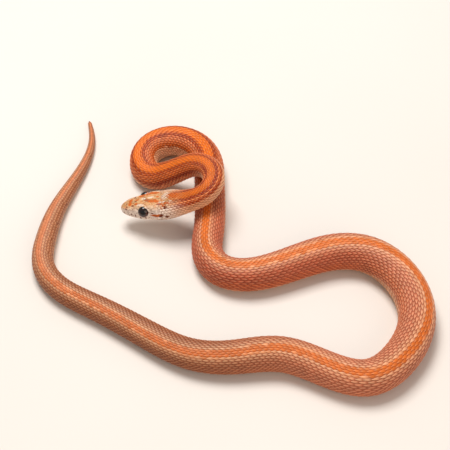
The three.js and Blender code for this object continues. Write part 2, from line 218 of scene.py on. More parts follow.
# The skin: rings and points in each, on the head and on the body behind it. On the unwrap the head,
# up to 22 mm, has more than its share of the length, a turn round the body takes UNWRAP_HEIGHT, and
# the two ends have small discs.
HEAD_SKIN_END = 18.0
HEAD_RINGS = 190
HEAD_POINTS = 256
BODY_RINGS = 620
BODY_POINTS = 64
UNWRAP_HEAD = (0.22, 22.0)
UNWRAP_HEIGHT = 0.96
CAP_PATCH = 0.004
SHIELD_CROWN = 0.02

# Where the small scales begin behind the shields: degrees from the top, and distance from the snout.
COAT_START = ([0, 20, 40, 60, 80, 95, 110, 125, 150, 165, 180],
              [12.9, 12.7, 12.3, 12.1, 12.3, 12.6, 12.4, 11.8, 9.2, 9.0, 9.0])
# The first cross row of scales, where the throat's scales end, and the pitch, which grows with girth.
COAT_FROM = 8.6
THROAT_END = 18.5
PITCH_LEAST = 0.22
PITCH_GAIN = 0.29
# The share of the full number of rows, by distance from the snout; the last share is at the tip.
ROW_SHARE = ([0, 292, 320, 336, 350, 368, 384], [1, 1, 0.8, 0.66, 0.5, 0.36, 0.26, 0.2])
# A scale's length in pitches, its half width in row spacings, and where along it it is widest and
# highest. Where the body is thinner than FULL_RELIEF_GIRTH, the scales stand up less.
SCALE_LENGTH = 1.4
SCALE_WIDTH = 0.66
SCALE_WIDEST = 0.42
SCALE_CREST = 0.84
FULL_RELIEF_GIRTH = 3.4
# Half the angle under the belly plates, by distance from the snout.
BELLY_HALF = ([0, 300, 332, 340, 395], [58, 58, 54, 46, 44])
# How deep plates reach below the coat, how far it lies inside the solids, as a share of the girth,
# the size of a plate's patch on the unwrap, and the number of meshes that hold the back scales.
SKIRT_DEPTH = 0.32
COAT_INSET = 0.034
PLATE_PATCH = 0.0026
SCALE_PIECES = 4
# The tint of each scale's root and sides: partly the dark skin between scales, partly painted shade
# where one scale lies over the next.
GAP_SKIN_AND_SHADE_TINT = (0.50, 0.26, 0.18)

FLESH_NODES = ["head", "lower_jaw", "neck", *[f"body_{k:02d}" for k in range(1, 14)], "tail_01", "tail_02"]

# The stage: the middle of the view, the world, and the lights: place, width, power and colour.
VIEW_MIDDLE = (-0.0013, 0.0059, 0.0045)
FLOOR_HALF = 3.0
FLOOR_LEVEL = -0.0002
SOFT_WHITE = (1.0, 0.985, 0.96)
WORLD_STRENGTH = 0.42
LIGHTS = [
    ("overhead", (-0.10, 0.20, 0.60), 0.30, 4.3, SOFT_WHITE),
    ("front", (0.3, -0.5, 0.30), 0.5, 1.3, (1.0, 0.76, 0.58)),
]


class SnakeSettings(bpy.types.PropertyGroup):
    """Sizes and colours that a user would change."""

    rows: bpy.props.IntProperty(
        name="Scale rows", description="Rows of back scales round the middle of the body",
        default=27, min=9)
    scale_relief: bpy.props.FloatProperty(
        name="Scale relief", description="How far a scale's rear edge stands off the skin",
        default=0.0002, unit="LENGTH", precision=5)
    groove_depth: bpy.props.FloatProperty(
        name="Groove depth", description="Depth of the grooves between the shields of the head",
        default=0.00009, unit="LENGTH", precision=5)
    roughness: bpy.props.FloatProperty(
        name="Roughness", description="Roughness of the scales",
        default=0.42, min=0, max=1, subtype="FACTOR")
    orange: bpy.props.FloatVectorProperty(
        name="Orange", description="The stripe along the back",
        default=(0.74, 0.158, 0.008), subtype="COLOR")
    rust: bpy.props.FloatVectorProperty(
        name="Rust", description="Dark lines beside the stripe",
        default=(0.33, 0.040, 0.005), subtype="COLOR")
    mauve: bpy.props.FloatVectorProperty(
        name="Mauve", description="The flanks at mid body",
        default=(0.50, 0.128, 0.060), subtype="COLOR")
    brown: bpy.props.FloatVectorProperty(
        name="Brown", description="The flanks towards the tail",
        default=(0.34, 0.118, 0.048), subtype="COLOR")
    cream: bpy.props.FloatVectorProperty(
        name="Cream", description="The belly and the pale marks",
        default=(0.86, 0.50, 0.28), subtype="COLOR")
    tan: bpy.props.FloatVectorProperty(
        name="Tan", description="The ground colour of the head",
        default=(0.58, 0.33, 0.15), subtype="COLOR")
    pale: bpy.props.FloatVectorProperty(
        name="Pale", description="The cheeks and lips",
        default=(0.80, 0.66, 0.56), subtype="COLOR")
    eye: bpy.props.FloatVectorProperty(
        name="Iris", description="The ring round the pupil",
        default=(0.070, 0.013, 0.006), subtype="COLOR")
    camera_distance: bpy.props.FloatProperty(
        name="Camera distance", description="From the camera to the middle of the view",
        default=0.4, unit="LENGTH")
    camera_elevation: bpy.props.FloatProperty(
        name="Camera elevation", description="How steeply the camera looks down",
        default=math.radians(50), subtype="ANGLE")
    view_width: bpy.props.FloatProperty(
        name="View width", description="Width of the picture at the middle of the view",
        default=0.1305, unit="LENGTH", precision=4)


def settings():
    """The values in the panel."""
    return bpy.context.scene.snake_settings


# The body as arrays

def differences(values):
    """From the row before each row to the row after it; at either end the row itself stands in."""
    longer = np.concatenate([values[:1], values, values[-1:]])
    return longer[2:] - longer[:-2]


def unit(vectors):
    """Vectors brought to length 1."""
    return vectors / np.linalg.norm(vectors, axis=-1)[..., None]


def table_value(table, column, at):
    """One column of a table at any places: cubic pieces that leave each row at the mean slope round it."""
    rows = np.asarray(table, float)
    x, y = rows[:, 0], rows[:, column]
    slope = differences(y) / differences(x)
    at = np.clip(at, x[0], x[-1])
    i = np.clip(np.searchsorted(x, at, side="right") - 1, 0, len(x) - 2)
    h = x[i + 1] - x[i]
    t = (at - x[i]) / h
    t2, t3 = t ** 2, t ** 3
    return ((2 * t3 - 3 * t2 + 1) * y[i] + (t3 - 2 * t2 + t) * h * slope[i]
            + (3 * t2 - 2 * t3) * y[i + 1] + (t3 - t2) * h * slope[i + 1])


def smooth(low, high, value):
    """0 below low, 1 above high, and an S-shaped rise between them."""
    t = np.clip((value - low) / (high - low), 0, 1)
    return t * t * (3 - 2 * t)


def sample_path(points, steps):
    """A smooth path through the waypoints.

    It is a uniform cubic B-spline. Its control points are the waypoints less a sixth of their second
    difference, so that it passes within a hair of each.
    """
    p = np.asarray(points, float)
    longer = np.vstack([2 * p[0] - p[2], 2 * p[0] - p[1], p, 2 * p[-1] - p[-2], 2 * p[-1] - p[-3]])
    control = longer[1:-1] - (longer[:-2] - 2 * longer[1:-1] + longer[2:]) / 6
    t = np.arange(steps) / steps
    weights = np.stack([
        (1 - t) ** 3, 3 * t ** 3 - 6 * t ** 2 + 4, -3 * t ** 3 + 3 * t ** 2 + 3 * t + 1, t ** 3]) / 6
    spans = np.stack([control[k:k + len(p) - 1] for k in range(4)])
    inside = np.einsum("kt,ksd->std", weights, spans).reshape(-1, 3)
    end = (control[-3] + 4 * control[-2] + control[-1]) / 6
    return np.vstack([inside, end])


def build_centreline():
    """Points, lengths and directions of the centreline, raised by the belly's depth as the solids are.

    The depth depends on the length along, and that on the raised points, so both are found in turns.
    """
    first_spacing, passes = 0.4, 5
    flat = sample_path(WAYPOINTS, STEPS_PER_SPAN)
    along = np.arange(len(flat)) * first_spacing
    for _ in range(passes):
        depth = table_value(GIRTH, 3, along)
        press = FLOOR_PRESS * np.clip((along - PRESS_START) / (PRESS_FULL - PRESS_START), 0, 1)
        points = np.column_stack([flat[:, :2], np.maximum(flat[:, 2], 0) + depth * (1 - press)])
        along = np.concatenate([[0], np.cumsum(np.linalg.norm(np.diff(points, axis=0), axis=1))])
    return points, along, unit(differences(points))


PATH_POINTS, PATH_ALONG, PATH_FORWARD = build_centreline()
TOTAL = PATH_ALONG[-1] - TIP_CUT


def frame_at(along):
    """Point, forward, left and up of the centreline at distances from the snout."""
    point, forward = (np.stack([np.interp(along, PATH_ALONG, axis) for axis in rows.T], -1)
                      for rows in (PATH_POINTS, PATH_FORWARD))
    forward = unit(forward)
    left = unit(np.cross(np.array([0.0, 0.0, 1.0]), forward))
    return point, forward, left, np.cross(forward, left)


def roll_at(along):
    """How far the back is turned off the top, in radians."""
    return np.radians(table_value(ROLL, 1, along))


def section_radius(along, angle):
    """Distance from the centreline to the skin: a rounded rectangle's formula, flatter on the head."""
    sine, cosine = np.abs(np.sin(angle)), np.cos(angle)
    half = table_value(GIRTH, 1, along)
    height = np.where(cosine >= 0, table_value(GIRTH, 2, along), table_value(GIRTH, 3, along))
    head_share = np.clip((HEAD_SHAPE_END - along) / HEAD_SHAPE_FADE, 0, 1)
    body_power = np.where(cosine >= 0, TOP_SQUARENESS, BELLY_SQUARENESS)
    power = body_power + (HEAD_SQUARENESS - body_power) * head_share
    return ((sine / half) ** power + (np.abs(cosine) / height) ** power) ** (-1 / power)


def end_rounding(along):
    """Rounding of the snout and of the tip of the tail: a quarter circle at each."""
    snout, tail = (np.sqrt(1 - (1 - np.clip(share, 0, 1)) ** 2)
                   for share in (along / SNOUT_ROUNDING, (TOTAL - along) / TAIL_ROUNDING))
    return snout * tail


def head_relief(along, around):
    """Sum of soft bumps and hollows, each a bell in both directions, the same on both sides."""
    degrees = np.degrees(np.abs(around))
    total = np.zeros(np.broadcast(along, around).shape)
    for at, centre, length, spread, height in HEAD_FORMS:
        off = ((along - at) / length) ** 2 + ((degrees - centre) / spread) ** 2
        total += height * np.exp(-HEAD_FORM_FALL * off)
    return total * smooth(HEAD_LENGTH + 3, HEAD_LENGTH, along)


def body_point(along, around, out):
    """The point of the animal at a distance along, an angle around from the back, and out from the skin."""
    angle = around + roll_at(along)
    point, _, left, up = frame_at(along)
    reach = (section_radius(along, angle) + out) * end_rounding(along)
    place = point + left * (np.sin(angle) * reach)[..., None] + up * (np.cos(angle) * reach)[..., None]
    place[..., 2] = np.maximum(place[..., 2], FLOOR_GAP)
    return place * MM


def marking_place(along, around):
    """Angle from the middle of the markings, without its sign, as a share of half a turn."""
    turned = np.abs(around - np.radians(table_value(MARKING_TURN, 1, along)))
    return np.minimum(turned, 2 * math.pi - turned) / math.pi


def girth_radius(along):
    """The mean of the half width and the height above the centreline."""
    return (table_value(GIRTH, 1, along) + table_value(GIRTH, 2, along)) / 2


def unwrap(along, around, step_along=0, step_around=0):
    """Place on the skin's own unwrap: length across, with the head given more room, and angle up."""
    head_share, head_end = UNWRAP_HEAD
    across = np.where(along < head_end, head_share * along / head_end,
                      head_share + (1 - head_share) * (along - head_end) / (TOTAL - head_end))
    up = around / (2 * math.pi) + 0.5
    places = np.broadcast_arrays(0.01 + 0.98 * across + step_along, 0.02 + UNWRAP_HEIGHT * up + step_around)
    return np.stack(places, -1)


def column(value):
    """One number a plate, shaped to spread over each plate's grid."""
    return value[:, None, None]


# Meshes

def seam_places(faces, place):
    """Places of a face's corners on the unwrap; a face across the seam under the belly is kept whole."""
    corners = place[faces]
    up = corners[..., 1]
    across_seam = np.ptp(up, axis=1) > 0.5
    corners[..., 1] = np.where(across_seam[:, None] & (up < 0.5), up + UNWRAP_HEIGHT, up)
    return corners


def cap_places(count, across):
    """Places of an end face's corners: a small disc of its own beside the unwrap."""
    turn = 2 * math.pi * np.arange(count) / count
    return np.stack([across + CAP_PATCH * np.cos(turn), 0.5 + CAP_PATCH * np.sin(turn)], -1)[None]


def add_mesh(name, points, faces, values, bake_places=None, sharp=None):
    """A mesh from arrays: faces is a list of index arrays, and bake_places their corners on the unwrap."""
    mesh = bpy.data.meshes.new(name)
    mesh.vertices.add(len(points))
    mesh.vertices.foreach_set("co", np.ascontiguousarray(points, np.float32).ravel())
    corners = np.concatenate([f.ravel() for f in faces])
    counts = np.concatenate([np.full(len(f), f.shape[1]) for f in faces])
    starts = np.concatenate([[0], np.cumsum(counts)[:-1]])
    mesh.loops.add(len(corners))
    mesh.loops.foreach_set("vertex_index", corners.astype(np.int32))
    mesh.polygons.add(len(counts))
    mesh.polygons.foreach_set("loop_start", starts.astype(np.int32))
    mesh.update(calc_edges=True)
    mesh.validate()
    for label, value in values.items():
        attribute = mesh.attributes.new(label, "FLOAT", "POINT")
        attribute.data.foreach_set("value", np.ascontiguousarray(value, np.float32).ravel())
    if bake_places is not None:
        layer = mesh.uv_layers.new(name="OFBake")
        places = np.concatenate([place.reshape(-1, 2) for place in bake_places])
        layer.data.foreach_set("uv", np.ascontiguousarray(places, np.float32).ravel())
    mesh.shade_smooth()
    if sharp is not None:
        mesh.set_sharp_from_angle(angle=math.radians(sharp))
    piece = bpy.data.objects.new(name, mesh)
    bpy.context.collection.objects.link(piece)
    return piece


def finish_piece(piece, material):
    """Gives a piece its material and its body."""
    piece.data.materials.append(material)
    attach(piece, "root")


def grid_faces(rows, columns, closed=False):
    """Corner numbers of the four-sided faces of a grid whose columns run round if it is closed."""
    i = np.arange(rows - 1)[:, None] * columns
    j = np.arange(columns if closed else columns - 1)[None, :]
    k = (j + 1) % columns
    return np.stack([i + j, i + columns + j, i + columns + k, i + k], -1).reshape(-1, 4)


def plate_faces(rows, columns):
    """Faces of one plate: its top grid, a skirt round its edge and one flat face that closes it below."""
    top = grid_faces(rows, columns)
    number = np.arange(rows * columns).reshape(rows, columns)
    edge = np.concatenate([number[0, :-1], number[:-1, -1], number[-1, :0:-1], number[:0:-1, 0]])
    low = rows * columns + np.arange(len(edge))
    skirt = np.stack([edge, np.roll(edge, -1), np.roll(low, -1), low], -1)
    return np.concatenate([top, skirt]), low[None, :], edge


def add_plates(name, u, v, along, around, out, roots, values, material):
    """Many plates at once, from each plate's grid of along, around and out over u and v.

    Its skirt drops from the edge to SKIRT_DEPTH below the coat. roots gives each plate's own distance
    and angle, and values one number a plate; the attributes rear and side are its u and the size of v.
    """
    root_along, root_around = roots
    count, rows, columns = along.shape
    sides, bottom, edge = plate_faces(rows, columns)

    def with_skirt(grid):
        """A grid's values, and those of its edge again for the foot of the skirt."""
        flat = np.broadcast_to(grid, along.shape).reshape(count, -1)
        return np.concatenate([flat, flat[:, edge]], 1)

    all_along, all_around = with_skirt(along), with_skirt(around)
    low = np.broadcast_to((coat_top(root_along) - SKIRT_DEPTH)[:, None], (count, len(edge)))
    all_out = np.concatenate([out.reshape(count, -1), low], 1)
    points = body_point(all_along, all_around, all_out + head_relief(all_along, all_around))
    per_plate = points.shape[1]
    shift = column(np.arange(count)) * per_plate
    faces = [(f[None] + shift).reshape(-1, f.shape[1]) for f in (sides, bottom)]
    spread = {label: np.repeat(value, per_plate) for label, value in values.items()}
    spread["rear"] = with_skirt(u * np.ones_like(v))
    spread["side"] = with_skirt(np.abs(v) * np.ones_like(u))
    patch_u = with_skirt(np.linspace(-0.5, 0.5, rows)[:, None])
    patch_v = with_skirt(np.linspace(-0.5, 0.5, columns)[None, :])
    bake = unwrap(root_along[:, None], root_around[:, None], PLATE_PATCH * patch_u, PLATE_PATCH * patch_v)
    places = [bake.reshape(-1, 2)[f] for f in faces]
    piece = add_mesh(name, points.reshape(-1, 3), faces, spread, places, sharp=50)
    finish_piece(piece, material)


# The head

def mouth_angle(along):
    """Angle from the back at which the skin crosses the line of the mouth, found between close steps."""
    along = np.asarray(along, float)
    wanted = table_value(MOUTH_LINE, 1, along)
    angles = np.linspace(math.radians(80), math.radians(176), 240)
    heights = section_radius(along[:, None], angles[None]) * np.cos(angles)[None]
    above = np.clip((heights > wanted[:, None]).sum(1), 1, len(angles) - 1)
    rows = np.arange(len(along))
    high, low = heights[rows, above - 1], heights[rows, above]
    share = np.clip((high - wanted) / np.maximum(high - low, 1e-6), 0, 1)
    return angles[above - 1] + share * (angles[above] - angles[above - 1])


def shield_centres():
    """Every shield of the head as a row: distance, angle, half length, half width."""
    rows = []
    for at, degrees, length, width in SHIELDS.values():
        pair = both_sides([(at, math.radians(degrees), length, width)])
        rows += pair[:1] if degrees in (0, 180) else pair
    for lip, side in ((UPPER_LIP, -1), (LOWER_LIP, 1)):
        at = np.array([row[0] for row in lip])
        angles = mouth_angle(at) + side * (LIP_OFFSET / girth_radius(at))
        rows += both_sides([(row[0], angle, row[1], LIP_HALF_WIDTH) for row, angle in zip(lip, angles)])
    return np.array(rows)


def shield_cells(along, around):
    """Which shield is nearest, and how much nearer it is than the next.

    The distance to a shield is measured in its own half sizes, so a large shield reaches further.
    """
    radius = girth_radius(along)
    best = np.full(along.shape, 1e3)
    second = np.full(along.shape, 1e3)
    which = np.zeros(along.shape)
    for number, (at, angle, length, width) in enumerate(shield_centres()):
        turn = (around - angle + math.pi) % (2 * math.pi) - math.pi
        distance = np.sqrt(((along - at) / length) ** 2 + (turn * radius / width) ** 2)
        nearer = distance < best
        second = np.where(nearer, best, np.minimum(second, distance))
        which = np.where(nearer, number, which)
        best = np.where(nearer, distance, best)
    return which, second - best


def head_place(along, left, up):
    """A point of the head by its distance from the snout and its place left and up of the centreline."""
    point, forward, to_left, to_up = (row[0] for row in frame_at(np.array([EYE_AT])))
    return point + forward * (along - EYE_AT) + to_left * left + to_up * up


def eye_axes(side):
    """Centre of an eye and its outward, forward and upward directions, in millimetres."""
    _, forward, left, up = (row[0] for row in frame_at(np.array([EYE_AT])))
    outward = left * side * math.cos(EYE_TILT) + up * math.sin(EYE_TILT)
    centre = head_place(EYE_AT, side * EYE_SIDE, EYE_UP)
    return centre, outward, forward, np.cross(forward, outward) * side


def head_openings(along, around):
    """How far the skin is drawn in for the eyes, nostrils and mouth, and raised along their rims.

    Round an eye the skin comes out to the lid's thickness over the ball, ends in a low rim, and is
    sunk inside an oval opening. A nostril is a round pit, and the mouth a groove between raised lips.
    """
    bare = body_point(along, around, head_relief(along, around)) / MM
    out = np.zeros(along.shape)
    rim = np.zeros(along.shape)
    half_length, half_height, raised = EYE_OPENING
    for side in (-1, 1):
        centre, outward, forward, upward = eye_axes(side)
        reach = bare - centre
        ahead, above, depth = reach @ forward, reach @ upward, reach @ outward
        across = np.hypot(ahead / half_length, (above - raised) / half_height)
        facing = smooth(0.0, 0.4, depth)
        off_axis = np.minimum(np.hypot(ahead, above) / EYE_RADIUS, 1)
        ball = EYE_DEPTH * np.sqrt(1 - off_axis ** 2)
        lid = np.clip(ball + LID_THICKNESS - depth, 0, 0.5) * smooth(0.9, 1.0, across) * (off_axis < 1)
        out += LID_GAIN * lid * facing
        out -= SOCKET_DEPTH * (1 - smooth(0.86, 1.0, across)) * facing
        out += 0.08 * np.exp(-((across - 1.1) / 0.09) ** 2) * facing
        rim += np.exp(-((across - 1.13) / 0.12) ** 2) * facing
        pit = head_place(NOSTRIL_AT, side * NOSTRIL_SIDE, NOSTRIL_UP)
        far = np.linalg.norm(bare - pit, axis=-1)
        out -= NOSTRIL_DEPTH * (1 - smooth(0.12, 0.34, far))
        out += 0.05 * np.exp(-((far - 0.42) / 0.1) ** 2)
    line = mouth_angle(along[:, 0])[:, None]
    off_line = (np.abs(around) - line) * girth_radius(along)
    open_share = smooth(13.3, 12.4, along)
    out -= MOUTH_DEPTH * np.exp(-(off_line / 0.1) ** 2) * open_share
    out += LIP_RISE * np.exp(-((np.abs(off_line) - 0.3) / 0.2) ** 2) * open_share
    # The last mask is the line of the mouth, where the skin material paints shade.
    return out, np.clip(rim, 0, 1), np.exp(-(off_line / 0.12) ** 2) * open_share


def marks_mask(marks, along, around):
    """The strongest of a list of soft oval marks at each place, each a bell in both directions."""
    radius = girth_radius(along)
    mask = np.zeros(along.shape)
    for at, degrees, length, width in marks:
        turn = (around - math.radians(degrees)) * radius / width
        mask = np.maximum(mask, np.exp(-((along - at) / length) ** 2 - turn ** 2))
    return mask


def pattern_values(along, around, cell):
    """The attributes that colour the pattern: the place, a shade for each cell, and the head's marks."""
    return {"along": along / TOTAL, "around": marking_place(along, around), "cell": cell,
            "orange": marks_mask(ORANGE_MARKS, along, around),
            "dark": marks_mask(DARK_MARKS, along, around),
            "cream": marks_mask(CREAM_MARKS, along, around)}


def coat_start(around):
    """Where the small scales begin behind the shields, by angle from the back."""
    return np.interp(np.degrees(np.abs(around)), COAT_START[0], COAT_START[1])


def coat_top(along):
    """How far out the scales' rear edges reach: a little inside the solids, behind the head."""
    return -COAT_INSET * girth_radius(along) * smooth(10, 22, along)


# The pieces

def skin_rings(stations, count):
    """Points, attributes and unwrap places of the skin's rings, with count points in each.

    The skin follows the body's formula and the forms of the head. Under the scales it is sunk by their
    relief. On the head each shield is a low crown between grooves, and the openings are cut in.
    """
    chosen = settings()
    around = np.linspace(-math.pi, math.pi, count, endpoint=False)[None] * np.ones((len(stations), 1))
    along = stations[:, None] * np.ones((1, count))
    coat = smooth(-0.4, 0.9, along - coat_start(around))
    out = head_relief(along, around) + coat * (coat_top(along) - chosen.scale_relief / MM)
    rim = seam = gap = cell = np.zeros(along.shape)
    if count == HEAD_POINTS:
        which, apart = shield_cells(along, around)
        opened, rim, seam = head_openings(along, around)
        # gap marks the grooves between the shields; the skin material also paints shade there.
        gap = (1 - smooth(0.02, 0.15, apart)) * (1 - coat)
        dip = (1 - smooth(0.0, 0.5, apart)) * (1 - coat)
        out = out + opened - gap * chosen.groove_depth / MM - dip * SHIELD_CROWN
        cell = (np.sin(which * 78.233) * 43.758) % 1
    values = pattern_values(along, around, cell)
    values.update(coat=coat, rim=rim, seam=seam, gap=gap)
    return body_point(along, around, out).reshape(-1, 3), values, unwrap(along, around).reshape(-1, 2)


def build_skin(material):
    """One skin from the snout to the tip of the tail: rings of points round the centreline.

    The rings are close and fine on the head and wider apart on the body, under the scales. Where the
    two meet, four edges of the fine ring lead into one edge of the coarse ring.
    """
    head_along = HEAD_SKIN_END * np.linspace(0.012, 1, HEAD_RINGS) ** 1.25
    body_along = np.linspace(HEAD_SKIN_END, TOTAL - 0.01, BODY_RINGS)[1:]
    tip = TOTAL - TAIL_ROUNDING * (1 - np.sin(np.linspace(0, math.pi / 2, 6)))[:-1]
    body_along = np.concatenate([body_along[body_along < TOTAL - TAIL_ROUNDING], tip])
    points, values, maps = zip(skin_rings(head_along, HEAD_POINTS), skin_rings(body_along, BODY_POINTS))
    head_count, body_count = len(points[0]), len(points[1])
    head_faces = grid_faces(len(head_along), HEAD_POINTS, closed=True)
    body_faces = grid_faces(len(body_along), BODY_POINTS, closed=True) + head_count
    ratio = HEAD_POINTS // BODY_POINTS
    j = np.arange(BODY_POINTS)
    last_ring = head_count - HEAD_POINTS
    spread = (j[:, None] * ratio + np.arange(ratio + 1)[None]) % HEAD_POINTS + last_ring
    joint = np.column_stack([spread[:, ::-1], head_count + j, head_count + (j + 1) % BODY_POINTS])
    snout = np.arange(HEAD_POINTS)[None]
    tail = (head_count + body_count - BODY_POINTS + j)[None, ::-1]
    faces = [np.concatenate([head_faces, body_faces]), joint, snout, tail]
    flat = np.vstack(maps)
    places = [seam_places(faces[0], flat), seam_places(joint, flat),
              cap_places(HEAD_POINTS, 0.005), cap_places(BODY_POINTS, 0.995)]
    joined = {key: np.concatenate([part[key].ravel() for part in values]) for key in values[0]}
    piece = add_mesh("skin", np.vstack(points), faces, joined, places)
    finish_piece(piece, material)
    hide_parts(*FLESH_NODES)


def scale_stations():
    """Distances of the cross rows of scales: each is the last plus a pitch that grows with the girth."""
    stations = [COAT_FROM]
    while stations[-1] < TOTAL - 1.4:
        at = stations[-1]
        behind_head = 0.66 + 0.34 * float(smooth(12, 26, at))
        stations.append(at + (PITCH_LEAST + PITCH_GAIN * float(girth_radius(at)) * behind_head))
    return np.array(stations)


def belly_half(along):
    """Half the angle that the belly plates cover."""
    return np.radians(np.interp(along, BELLY_HALF[0], BELLY_HALF[1]))


def scale_roots():
    """Place, pitch and row spacing of every back scale; alternate rows are half a pitch further on."""
    stations = scale_stations()
    pitch = np.gradient(stations)
    rows = settings().rows
    count = np.interp(stations, [*ROW_SHARE[0], TOTAL], np.array(ROW_SHARE[1]) * rows)
    half_rows = np.floor(count / 2)
    spacing = (math.pi - belly_half(stations)) / (half_rows + 0.5)
    row = np.arange(-rows, rows + 1)
    along = stations[:, None] + 0.5 * (np.abs(row) % 2)[None] * pitch[:, None]
    around = row[None] * spacing[:, None]
    throat = (stations < THROAT_END)[:, None] & (np.abs(around) < math.pi * 0.985)
    kept = (np.abs(row)[None] <= half_rows[:, None]) | throat
    kept &= (along > coat_start(around)) & (along < TOTAL - 1.2)
    pitch, spacing = (np.broadcast_to(value[:, None], along.shape)[kept] for value in (pitch, spacing))
    return along[kept], around[kept], pitch, spacing


def build_back_scales(material):
    """Overlapping scales. Each is an oval whose half width follows a rounded power curve along it.

    It starts sunk in the skin, rises towards its rear edge, which stands over the next scale, and
    falls off to both sides as the square of the distance from its middle.
    """
    root_along, root_around, pitch, spacing = scale_roots()
    draw = np.random.default_rng(11)
    cell = draw.random(len(root_along))
    tilt = draw.normal(0, 0.12, len(root_along))
    stretch = 1 + draw.normal(0, 0.03, len(root_along))
    u = np.array([0, 0.2, SCALE_WIDEST, 0.64, SCALE_CREST, 1.0])[:, None]
    v = np.linspace(-1, 1, 5)[None]
    from_widest = np.where(u < SCALE_WIDEST, (SCALE_WIDEST - u) / SCALE_WIDEST,
                           (u - SCALE_WIDEST) / (1 - SCALE_WIDEST))
    outline = np.maximum(1 - from_widest ** 1.35, 0.12) ** 0.9
    reach = column(pitch * stretch) * SCALE_LENGTH
    along = column(root_along) + reach * (u - SCALE_WIDEST) * np.ones_like(v)
    along = np.minimum(along, TOTAL - 0.05)
    around = column(root_around) + column(spacing) * SCALE_WIDTH * outline * v
    share = np.clip(girth_radius(root_along) / FULL_RELIEF_GIRTH, 0.35, 1)
    size = column(settings().scale_relief / MM * share)
    rise = -1.0 + 0.98 * np.minimum(u / SCALE_CREST, 1) ** 0.75
    rise = rise - 0.18 * np.maximum(u - SCALE_CREST, 0) / (1 - SCALE_CREST)
    fall = 0.42 * v ** 2
    top = column(coat_top(root_along))
    out = np.minimum(top + size * (rise - fall + column(tilt) * (u - 0.5)), top)
    values = pattern_values(root_along, root_around, cell)
    ends = np.linspace(0, len(root_along), SCALE_PIECES + 1).astype(int)
    for number in range(SCALE_PIECES):
        part = slice(ends[number], ends[number + 1])
        add_plates(f"back_scales_{number + 1}", u, v, along[part], around[part], out[part],
                   (root_along[part], root_around[part]),
                   {label: value[part] for label, value in values.items()}, material)


def build_belly_plates(material):
    """Broad plates across the belly, one to each cross row, and pairs of narrower ones under the tail.

    A plate's front edge is bowed, it rises evenly to its rear edge, and its two ends turn down sharply,
    as the tenth power of the distance from its middle.
    """
    stations = scale_stations()
    pitch = np.gradient(stations)
    body = (stations > THROAT_END - 0.6) & (stations < VENT_AT)
    tail = (stations >= VENT_AT) & (stations < TOTAL - 1.6)
    root_along = np.concatenate([stations[body], stations[tail], stations[tail] + 0.5 * pitch[tail]])
    step = np.concatenate([pitch[body], pitch[tail], pitch[tail]])
    side = np.concatenate([np.zeros(body.sum()), np.ones(tail.sum()), -np.ones(tail.sum())])
    half = belly_half(root_along)
    middle = math.pi + side * half * 0.5
    width = np.where(side == 0, half * 1.05, half * 0.56)
    u = np.linspace(0, 1, 3)[:, None]
    v = np.linspace(-1, 1, 13)[None]
    bow = 0.12 * (1 - v ** 2)
    along = column(root_along) + column(step) * (1.42 * (u - 0.3) + bow * u)
    along = np.minimum(along, TOTAL - 0.05)
    around = column(middle) + column(width) * v * np.ones_like(u)
    share = np.clip(girth_radius(root_along) / FULL_RELIEF_GIRTH, 0.3, 1)
    size = column(settings().scale_relief / MM * share)
    out = column(coat_top(root_along)) + size * (-1.0 + u ** 0.9 - 0.9 * np.abs(v) ** 10)
    cell = np.random.default_rng(5).random(len(root_along))
    values = {"along": root_along / TOTAL, "around": np.ones(len(root_along)), "cell": cell}
    root_around = (middle + math.pi) % (2 * math.pi) - math.pi
    add_plates("belly_plates", u, v, along, around, out, (root_along, root_around), values, material)


def build_eye(name, side, material):
    """A ball flattened sideways: rings round its outward axis, from pole to pole.

    A ring's radius is the ball's radius times the sine of its latitude, and its height the ball's depth
    times the cosine. The attribute ring is that sine, and stays 1 behind the widest ring; upper is the
    share of it that points up.
    """
    centre, outward, forward, upward = eye_axes(side)
    latitude = np.linspace(0.02, math.pi - 0.02, EYE_RINGS)[:, None]
    turn = np.linspace(0, 2 * math.pi, EYE_SEGMENTS, endpoint=False)[None]
    clear = EYE_RADIUS * 0.999
    x = clear * np.sin(latitude) * np.cos(turn)
    y = clear * np.sin(latitude) * np.sin(turn)
    z = EYE_DEPTH * np.cos(latitude) * np.ones_like(turn)
    points = (centre + x[..., None] * forward + y[..., None] * upward + z[..., None] * outward) * MM
    first = np.arange(EYE_SEGMENTS)[None]
    last = (EYE_RINGS - 1) * EYE_SEGMENTS + first[:, ::-1]
    faces = [grid_faces(EYE_RINGS, EYE_SEGMENTS, closed=True), first, last]
    if side > 0:
        faces = [corners[:, ::-1] for corners in faces]
    ring = np.sin(np.minimum(latitude, math.pi / 2)) * np.ones_like(turn)
    piece = add_mesh(name, points.reshape(-1, 3), faces, {"ring": ring, "upper": np.sin(turn) * ring})
    finish_piece(piece, material)
    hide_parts(name.replace("glossy_", ""))


# Materials

